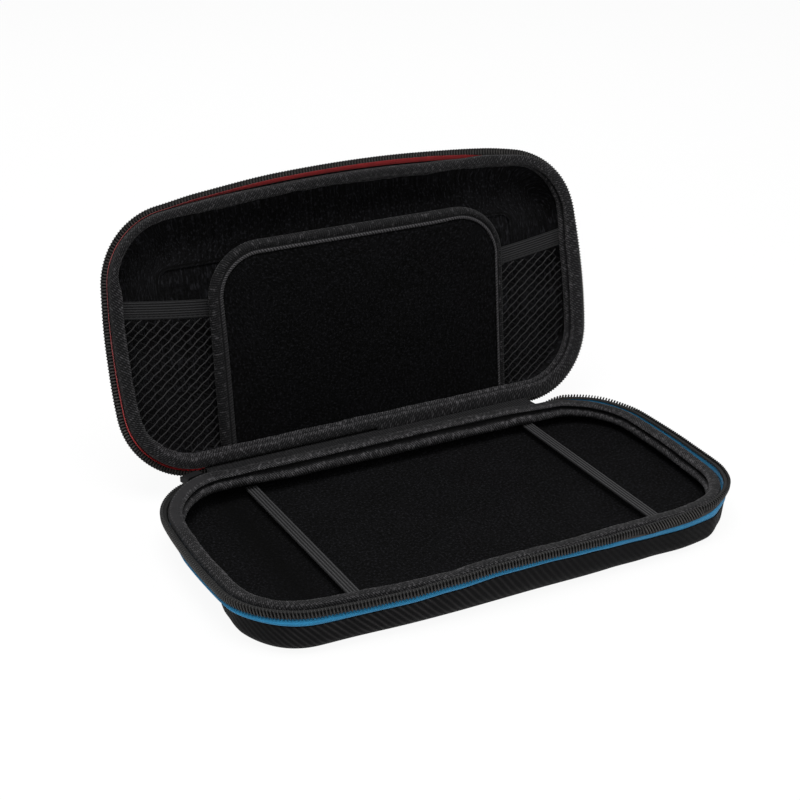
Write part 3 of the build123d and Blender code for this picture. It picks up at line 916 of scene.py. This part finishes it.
groundRows = [(tapeInset(coilFoot - 0.3) - 0.05, coilFoot - 0.3, 0), (tapeInset(coilFoot) - 0.6, coilFoot, 0),
              (tapeInset(coilTop) - 0.65, coilTop - 1.2, 0), (tapeInset(coilTop) + 0.5, coilTop - 0.95, 0),
              (tapeInset(tapeTop) + 0.85, tapeTop + 0.1, 0), (tapeInset(tapeTop) + 0.85, tapeTop, 1),
              (tapeInset(tapeTop) + 0.4, tapeTop, 1)]
baseGround = zipBand("ground_base", groundRows, onBaseGround)
dress(baseGround, coilRoots, "base", "zip_coil")
baseTooth = zipTooth("tooth_base", zipForm["toothWidth"], zipForm["coilThickness"] * 0.82, zipForm["coilWidth"], -0.3)
coilMiddle = (coilTop + coilFoot) / 2
baseCoil = standTeeth("teeth_base", baseTooth, sliderStop, onBaseZip,
                      tapeInset(coilMiddle) - zipForm["coilThickness"] * 0.55, coilMiddle, (0.18, 1), 0.25)
dress(baseCoil, coilNylon, "base", "zip_coil", "base_zip_coil")

lidGround = zipBand("ground_lid", [(lidNear + 0.5, lidBack + 0.2), (lidNear - 3.0, lidBack + 0.5),
                                   (lidNear - 3.1, lidBack + 0.9), (lidNear + 0.5, lidBack + 1.2)], onLidZip)
dress(lidGround, coilGround, "lid", "zip_coil")
lidTooth = zipTooth("tooth_lid", zipForm["toothWidth"], zipForm["lidDepth"] * 0.9, zipForm["lidReach"], 0.1)
lidCoil = standTeeth("teeth_lid", lidTooth, zipStart, onLidZip, lidNear - zipForm["lidReach"] / 2,
                     lidBack + zipForm["lidDepth"] / 2, (1, 0))
dress(lidCoil, coilNylon, "lid", "zip_coil", "lid_zip_coil")
print("zip closed round its way")

# cloth hinge between the halves
hingeForm = dict(thickness=1.0, bend=2.4, stations=120, foot=[(0, 0), (0.3, 0.9), (1.8, 1.6)], droop=0.3, flare=3)


def shutLidSection(inset, height):  # a place at the lid's back, in the upright section
    spot = onLid(Vector((0, casePlan["width"] / 2 - inset, height))) / mm
    return spot.y, spot.z


def hingeCloth():
    half = hingeForm["thickness"] / 2
    inset = zipForm["footInset"] + half
    foot = rimTop + 0.1
    back = casePlan["width"] / 2
    bends = [(back - inset + out, foot + up) for out, up in hingeForm["foot"]]
    lidNearSpot, lidFootSpot = shutLidSection(inset, foot + hingeForm["bend"]), shutLidSection(inset, foot)
    bends += [((bends[-1][0] + lidNearSpot[0]) / 2, (bends[-1][1] + lidNearSpot[1]) / 2 - hingeForm["droop"]),
              lidNearSpot, lidFootSpot]
    line, reach = softLine(bends, 30)
    sides = []
    for i, p in enumerate(line):
        ahead = (line[min(i + 1, 30)] - line[max(i - 1, 0)]).normalized()
        sides.append((p, Vector((-ahead.y, ahead.x))))
    loop = [p + n * half for p, n in sides] + [p - n * half for p, n in reversed(sides)]
    width, flare = 2 * zipForm["endX"], hingeForm["flare"]  # it spreads at its left end
    piece = carried("hinge", hingeForm["stations"], loop,
                    lambda u, w, p: Vector(((u - 0.5) * width - flare * max(0, 1 - u * 8), p[0], p[1])) * mm,
                    lambda u: (u - 0.5) * width)
    piece.data.materials.append(hingeGrosgrain)
    return piece, reach, bends


hinge, hingeReach, hingeBends = hingeCloth()
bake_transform(hinge)
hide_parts("hinge_cloth")
print("hinge cloth hung")

# elastic straps across the well
strapForm = dict(spacing=153, width=6.0, thickness=1.2, top=12.1, ribs=4, ribDepth=0.4, slant=4.0, stations=60)


# a ribbed band: its section runs across, with rounded cords standing on both faces
def cordedSection(width, thickness, ribs, depth, steps=6):
    line = []
    count = ribs * steps
    for i in range(count + 1):
        t = i / count
        line.append((width * (t - 0.5), thickness / 2 - depth * (0.5 + 0.5 * math.cos(2 * math.pi * ribs * t))))
    return line + [(x, -z) for x, z in reversed(line)]


def elasticStrap(name, side):
    section = cordedSection(strapForm["width"], strapForm["thickness"], strapForm["ribs"], strapForm["ribDepth"])
    node = "strap_left" if side < 0 else "strap_right"
    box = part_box(node)
    low, high = box[0].y / mm, box[1].y / mm
    middleZ = strapForm["top"] - strapForm["thickness"] / 2

    def spot(u, w, p):
        x = side * strapForm["spacing"] / 2 + p[0] + strapForm["slant"] * (1 - u)
        return Vector((x, low + (high - low) * u, middleZ + p[1])) * mm

    piece = carried(name, strapForm["stations"], section, spot, lambda u: (high - low) * u,
                    lambda p: p[0] + strapForm["width"] / 2)
    dress(piece, strapElastic, "base", "elastic", node)


elasticStrap("elastic_left", -1)
elasticStrap("elastic_right", 1)
print("straps stretched")

# net pocket and the elastic at its mouth
pocketForm = dict(bottomY=57, bottomHeight=34.4, topY=-21.2, topHeight=26.6, sag=11.5, tilt=0.006,
                  elasticWidth=8.6, elasticThickness=1.6, ribs=7, ribDepth=0.24, cellX=5.8, cellY=4.4,
                  strand=0.58, edgeInset=10.2, lift=0.4, sway=0.13, stations=150)
onPocket = slantedPlane(pocketForm["bottomY"], pocketForm["bottomHeight"], pocketForm["topY"], pocketForm["topHeight"])
pocketRise = math.hypot(pocketForm["bottomY"] - pocketForm["topY"],
                        pocketForm["bottomHeight"] - pocketForm["topHeight"])


def mouthLine(x):  # the elastic's upper edge in the pocket's plane
    half = casePlan["length"] / 2
    sag = pocketForm["sag"]
    radius = (half * half + sag * sag) / (2 * sag)
    return -pocketRise + sag - radius + math.sqrt(radius * radius - x * x) + pocketForm["tilt"] * x


def mouthBand():
    section = cordedSection(pocketForm["elasticWidth"], pocketForm["elasticThickness"], pocketForm["ribs"],
                            pocketForm["ribDepth"])
    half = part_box("pocket_elastic")[1].x / mm

    def spot(u, w, p):
        x = (u - 0.5) * 2 * half
        along = mouthLine(x) + pocketForm["elasticWidth"] / 2 + p[0]
        return onShutLid(onPocket(x, along, pocketForm["lift"] + p[1]))

    piece = carried("mouth_elastic", pocketForm["stations"], section, spot, lambda u: (u - 0.5) * 2 * half,
                    lambda p: p[0] + pocketForm["elasticWidth"] / 2)
    dress(piece, mouthElastic, "lid", "elastic", "pocket_elastic")


mouthBand()


def netStrands():
    cellX, cellY, lift = pocketForm["cellX"], pocketForm["cellY"], pocketForm["lift"]
    halfX = casePlan["length"] / 2
    verts, faces, firstFamily = [], [], 0
    reach = pocketRise * cellX / cellY
    steps = int(pocketRise / (cellY / 2)) + 3
    for family in (-1, 1):
        for n in range(int((2 * halfX + reach) / cellX) + 2):
            startX = n * cellX - halfX - (reach if family > 0 else 0)
            run = []
            for k in range(steps + 1):
                x, t = startX + family * k * cellX / 2, -pocketRise + k * cellY / 2
                spot = onPocket(x, t, lift)
                edge = pocketForm["edgeInset"] if 2 * casePlan["closing"] - spot.z > 12 else 8.6
                inside = (abs(x) < halfX and k < steps and t > mouthLine(x) + pocketForm["elasticWidth"] - 0.6
                          and planInset(spot.x, spot.y) > edge)
                if inside:
                    sway = pocketForm["sway"] * (1 if k % 2 else -1)
                    out = lift + 0.2 * family * (1 if k % 2 else 0.3)
                    run.append(onShutLid(onPocket(x + sway, t - family * sway * 0.8, out)))
                else:
                    if len(run) > 1:
                        addStrand(verts, faces, run, 5)
                    run = []
        firstFamily = firstFamily or len(faces)
    return verts, faces, firstFamily


def addStrand(verts, faces, points, sides):
    width, thickness = pocketForm["strand"] * mm / 2, pocketForm["strand"] * 0.72 * mm / 2
    normal = (onShutLid(onPocket(0, 0, -1)) - onShutLid(onPocket(0, 0, 0))).normalized()
    start = len(verts)
    rows = len(points)
    for i, p in enumerate(points):
        ahead = (points[min(i + 1, rows - 1)] - points[max(i - 1, 0)]).normalized()
        aside = ahead.cross(normal).normalized()
        for k in range(sides):
            angle = 2 * math.pi * k / sides
            verts.append(p + aside * (math.cos(angle) * width) + normal * (math.sin(angle) * thickness))
    for i in range(rows - 1):
        for k in range(sides):
            a = start + i * sides + k
            b = start + i * sides + (k + 1) % sides
            faces.append((a, b, b + sides, a + sides))
    faces.append(tuple(start + k for k in reversed(range(sides))))
    faces.append(tuple(start + (rows - 1) * sides + k for k in range(sides)))


def netPocket():
    verts, faces, firstFamily = netStrands()
    mesh = bpy.data.meshes.new("net")
    mesh.from_pydata(verts, [], faces)
    piece = added("net", mesh)
    dress(piece, netLitYarn, "lid", "net", "net_pocket")
    piece.data.materials.append(netShade)
    # the first strand family takes the painted lit copy of the yarn, the second the painted shaded copy
    for face in mesh.polygons:
        face.material_index = 0 if face.index < firstFamily else 1
    closeMesh(piece, angle=60)
    return piece


net = netPocket()
print("net strung", len(net.data.polygons))

# padded flap and its binding
flapForm = dict(width=160.5, aside=1.3, rootY=61.6, rootHeight=30.6, tipY=-39.5, tipHeight=17.8, corner=27,
                thickness=3.0, bindingWidth=6.6, cover=0.5, crown=0.9, padStations=260, edgeStations=300)
onFlap = slantedPlane(flapForm["rootY"], flapForm["rootHeight"], flapForm["tipY"], flapForm["tipHeight"])
flapLength = math.hypot(flapForm["rootY"] - flapForm["tipY"], flapForm["rootHeight"] - flapForm["tipHeight"])


# the flap's outline: square at the sewn root, round at the tip
def flapOutline(share, inset):
    halfX, corner = flapForm["width"] / 2 - inset, flapForm["corner"] - inset
    length = flapLength - inset
    arc = math.pi * corner / 2
    runs = [halfX, length - corner, arc, 2 * (halfX - corner), arc, length - corner, halfX]
    index, s = stretchAt(runs, (share % 1.0) * sum(runs))
    straight = {0: ((0, 0), (0, 1)), 1: ((-halfX, 0), (-1, 0)), 3: ((corner - halfX, -length), (0, -1)),
                5: ((halfX, corner - length), (1, 0)), 6: ((halfX, 0), (0, 1))}
    if index in straight:
        return straightAt(*straight[index], s)
    centre = (corner - halfX if index == 2 else halfX - corner, corner - length)
    return cornerAt(centre, corner, math.pi * (1 if index == 2 else 1.5) + s / corner)


def onOpenFlap(spot):
    return onShutLid(onFlap(spot.x + flapForm["aside"], spot.y, spot.z))


def flapPad():
    thick, crown = flapForm["thickness"], flapForm["crown"]
    margin = flapForm["cover"]
    front = [(margin + 24, -crown * 0.35), (margin + 18, -crown * 0.3), (margin + 12, -crown * 0.15),
             (margin + 8, 0.05), (margin + 6, 0.35), (margin + 3, 0.5), (margin + 0.6, 0.8), (margin, 1.5)]
    back = [(i, thick - h) for i, h in reversed(front[:-1])]
    piece = ringStack("flap_pad", flapForm["padStations"], flapOutline, front + back, onOpenFlap)
    dress(piece, flapFleece, "lid", "lining_fleece", "flap_panel")


flapPad()


def flapEdge():
    thick, width = flapForm["thickness"], flapForm["bindingWidth"]
    section = [(width, 0.1), (width - 0.4, -0.4), (width - 1.6, -0.5), (width - 2.3, 0.1), (width - 3.2, -0.6),
               (2.0, -0.85), (1.0, -0.5), (0.2, 0.4), (0, 1.5)]
    section += [(i, thick - h) for i, h in reversed(section[:-1])]
    inner = [(width - 0.4, thick - 0.5), (2.0, thick - 0.4), (1.2, 1.5), (2.0, 0.4), (width - 0.4, 0.5)]
    line, around = softLine(section, 30)
    total = 2 * flapLength + flapForm["width"]

    def spot(u, w, p):
        inset, height = p
        if height < 0.9:
            height += 0.12 * noise.noise(Vector((u * 90, w * 9, 2.0)))
        # wider at its left root, narrower down its right side
        inset *= 1.15 - 0.15 * held((u - 0.15) / 0.12) - 0.36 * held((u - 0.62) / 0.16)
        point, normal = flapSide(u, inset)
        return onOpenFlap(Vector((point.x, point.y, height)))

    piece = carried("flap_edge", flapForm["edgeStations"], [tuple(p) for p in line] + inner, spot,
                    lambda u: total * u)
    dress(piece, flapGrosgrain, "lid", "binding_cloth", "flap_binding")


# the flap's three free sides, from the root on the left round to the root on the right
def flapSide(share, inset):
    halfX, corner = flapForm["width"] / 2 - inset, flapForm["corner"] - inset
    length = flapLength - inset
    arc = math.pi * flapForm["corner"] / 2
    sides = [flapLength - flapForm["corner"], arc, flapForm["width"] - 2 * flapForm["corner"], arc,
             flapLength - flapForm["corner"]]
    index, s = stretchAt(sides, share * sum(sides), 1e-6)
    t = s / sides[index]
    low = corner - length
    if index == 0:
        return Vector((-halfX, low * t)), Vector((-1, 0))
    if index == 4:
        return Vector((halfX, low * (1 - t))), Vector((1, 0))
    if index == 2:
        return Vector(((corner - halfX) + 2 * (halfX - corner) * t, -length)), Vector((0, -1))
    centre = (corner - halfX if index == 1 else halfX - corner, low)
    return cornerAt(centre, corner, math.pi * ((1 if index == 1 else 1.5) + t / 2))


flapEdge()
print("flap bound")

# slider and pull
for name in ("zip_slider", "zip_pull"):
    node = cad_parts[name]
    node.data.materials.clear()
    node.data.materials.append(sliderPaint)
print("slider painted")

# camera at the photograph's place
viewForm = dict(place=(-0.32567, -0.55557, 0.38266), azimuth=-28.046, elevation=26.062, roll=0.88, lens=71.66)


def placeCamera():
    a, e, r = (math.radians(viewForm[key]) for key in ("azimuth", "elevation", "roll"))
    back = Vector((math.sin(a) * math.cos(e), -math.cos(a) * math.cos(e), math.sin(e)))
    right = Vector((math.cos(a), math.sin(a), 0))
    up = back.cross(right)
    tilted = right * math.cos(r) + up * math.sin(r)
    upright = up * math.cos(r) - right * math.sin(r)
    camera = added("camera", bpy.data.cameras.new("camera"))
    camera.matrix_world = axesAt(Vector(viewForm["place"]), tilted, upright, back)
    camera.data.lens = viewForm["lens"]
    camera.data.sensor_width = 36
    camera.data.clip_start = 0.01
    bpy.context.scene.camera = camera


placeCamera()

# pale floor, soft lamps and a white surround
studio = dict(floor=0.82, world=0.3, floorGlow=0.93, lamps=[
    ("key", (-0.2, -0.22, 1.1), (0, 0.03, 0.05), (0.7, 0.6), 14.0),
    ("fill", (0.8, -0.5, 0.6), (0, 0.05, 0.05), (0.6, 0.8), 2.2),
    ("rim", (0.2, 0.9, 0.8), (0, 0.05, 0.05), (0.9, 0.5), 4.0)])


def seenStraight(tree, path):  # rays that show a surface, not its light
    kinds = ("Camera", "Glossy", "Transmission")
    camera, glossy, through = (Val(tree, path.outputs[f"Is {kind} Ray"]) for kind in kinds)
    return camera.most(glossy).most(through)


def studioFloor():
    freshSelection()
    bpy.ops.mesh.primitive_plane_add(size=6, location=(0, 0, -0.0004))
    floor = bpy.context.object
    floor.name = "floor"
    bpy.ops.object.transform_apply(location=True, rotation=True, scale=True)
    f = Finish("floor_paint")
    cloud = f.speckle(f.node("TexCoord").outputs["Object"], 60, 2)
    colour = f.blendColour(cloud, (studio["floor"] - 0.01,) * 3, (studio["floor"] + 0.01,) * 3)
    f.tree.links.new(colour, f.shader.inputs["Base Color"])
    f.shader.inputs["Roughness"].default_value = 0.9
    path = f.node("LightPath")
    seen = seenStraight(f.tree, path) * studio["floorGlow"]
    glow = f.node("Emission", None, {"Color": (1, 1, 1, 1), "Strength": 1.0})
    mixed = f.node("MixShader", None, {0: seen})
    f.tree.links.new(f.shader.outputs[0], mixed.inputs[1])
    f.tree.links.new(glow.outputs[0], mixed.inputs[2])
    f.tree.links.new(mixed.outputs[0], f.tree.nodes["Material Output"].inputs["Surface"])
    floor.data.materials.append(f.material)


def softLamp(name, place, target, size, power):
    lamp = added(name, bpy.data.lights.new(name, "AREA"))
    lamp.data.shape = "RECTANGLE"
    lamp.data.size, lamp.data.size_y = size
    lamp.data.energy = power
    lamp.location = place
    lamp.rotation_euler = (Vector(target) - Vector(place)).to_track_quat("-Z", "Y").to_euler()


def whiteSurround():
    world = bpy.data.worlds.new("surround")
    bpy.context.scene.world = world
    world.use_nodes = True
    tree = world.node_tree
    ground = tree.nodes["Background"]
    ground.inputs["Color"].default_value = (1, 1, 1, 1)
    path = tree.nodes.new("ShaderNodeLightPath")
    strength = seenStraight(tree, path) * (1 - studio["world"]) + studio["world"]
    tree.links.new(strength.socket, ground.inputs["Strength"])


studioFloor()
whiteSurround()
for lampForm in studio["lamps"]:
    softLamp(*lampForm)
bpy.context.scene.view_settings.view_transform = "Standard"
print("studio lit")
